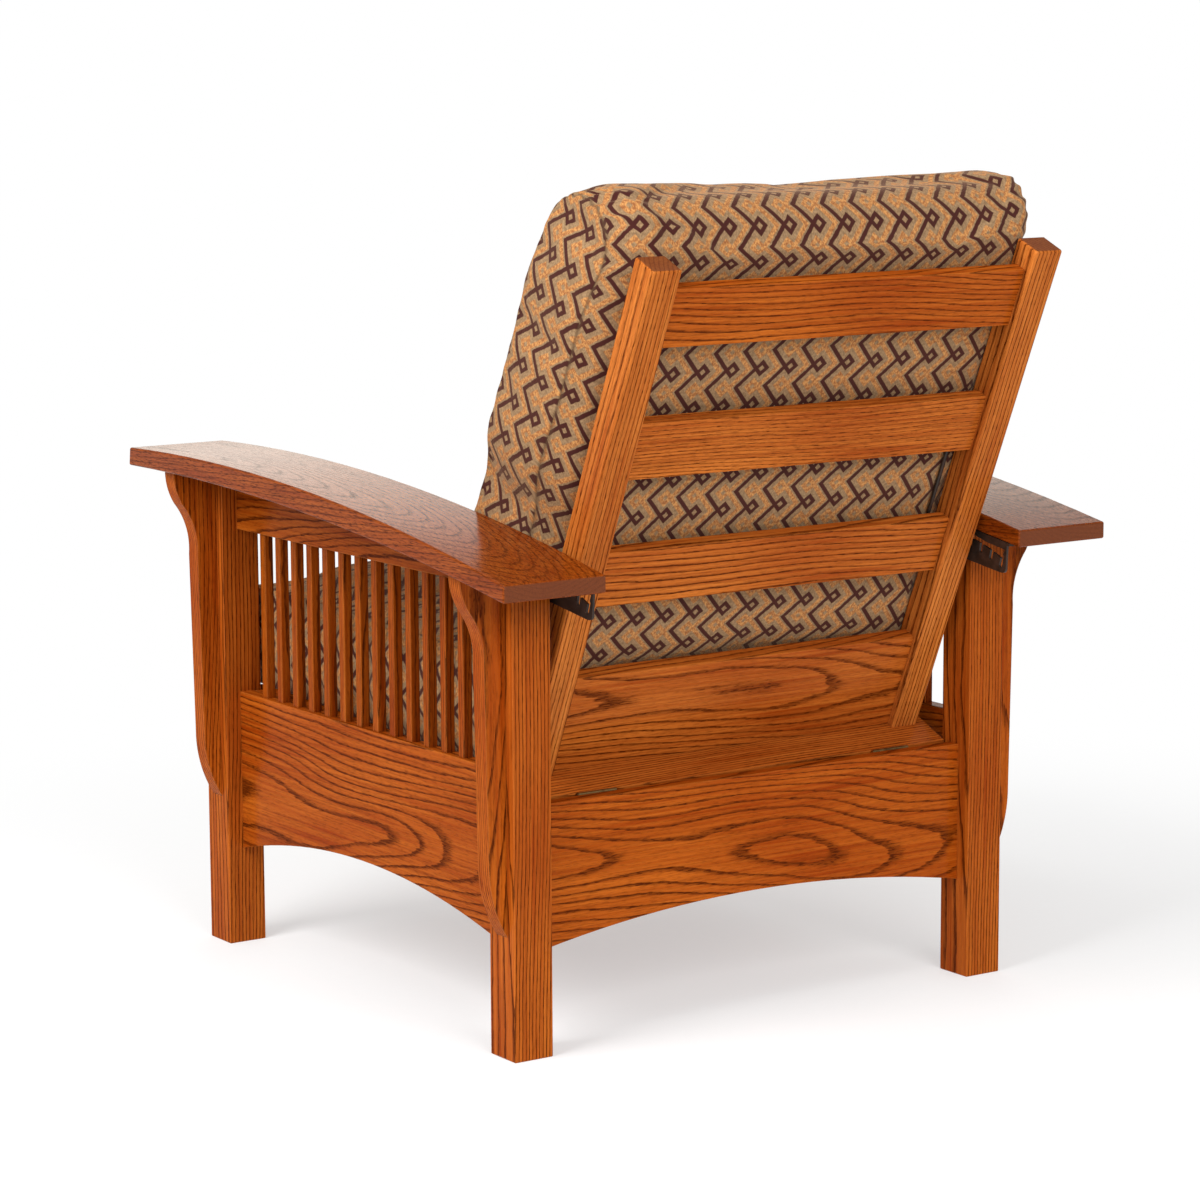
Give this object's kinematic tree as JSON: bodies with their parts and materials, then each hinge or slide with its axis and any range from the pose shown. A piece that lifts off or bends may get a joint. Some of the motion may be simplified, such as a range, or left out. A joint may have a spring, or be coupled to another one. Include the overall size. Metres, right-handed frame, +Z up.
{
  "type": "reclining armchair",
  "caption": "Reclining armchair with square legs, spindled sides, bowed arms on long corbels, a hinged slatted back held by a latch rod in notched combs, and two loose cushions.",
  "frame": {"origin": "on the floor, under the middle of the whole chair", "axes": "+Z up, the chair faces -Y, +X towards the sitter's left"},
  "size_m": [0.847, 0.9403, 0.9784],
  "materials": {
    "oak": "satin",
    "black_steel": "satin",
    "brass": "satin",
    "woven_fabric": "matte",
    "screw_steel": "satin"
  },
  "bodies": {
    "root": {"apron_left": "oak", "apron_right": "oak", "arm_left": "oak", "arm_right": "oak", "cleat_screws": "screw_steel", "comb_bracket_left": "black_steel", "comb_bracket_right": "black_steel", "comb_screws": "black_steel", "corbel_front_left": "oak", "corbel_front_right": "oak", "corbel_rear_left": "oak", "corbel_rear_right": "oak", "front_rail": "oak", "hinge_leaf_fixed_left": "brass", "hinge_leaf_fixed_right": "brass", "hinge_pins": "brass", "hinge_screws_fixed": "brass", "leg_front_left": "oak", "leg_front_right": "oak", "leg_rear_left": "oak", "leg_rear_right": "oak", "rear_rail": "oak", "seat_cleat_left": "oak", "seat_cleat_right": "oak", "seat_cushion": "woven_fabric", "seat_slats": "oak", "side_rail_left": "oak", "side_rail_right": "oak", "spindles_left": "oak", "spindles_right": "oak"},
    "back": {"back_cushion": "woven_fabric", "back_rail": "oak", "back_slat_lower": "oak", "back_slat_middle": "oak", "back_slat_top": "oak", "board_screws": "screw_steel", "hinge_board": "oak", "hinge_leaf_moving_left": "brass", "hinge_leaf_moving_right": "brass", "hinge_screws_moving": "brass", "stile_left": "oak", "stile_right": "oak"},
    "latch": {"latch_lever_left": "black_steel", "latch_lever_right": "black_steel", "latch_rod": "black_steel"}
  },
  "joints": [
    {"name": "recline", "type": "hinge", "parent": "root", "child": "back", "pos_m": [0, 0.25391, 0.285], "axis": [-1, 0, 0], "range_deg": [0, 17.6]},
    {"name": "latch_lift", "type": "slide", "parent": "back", "child": "latch", "axis": [0, 0, 1], "range_m": [-0.011, 0]}
  ]
}
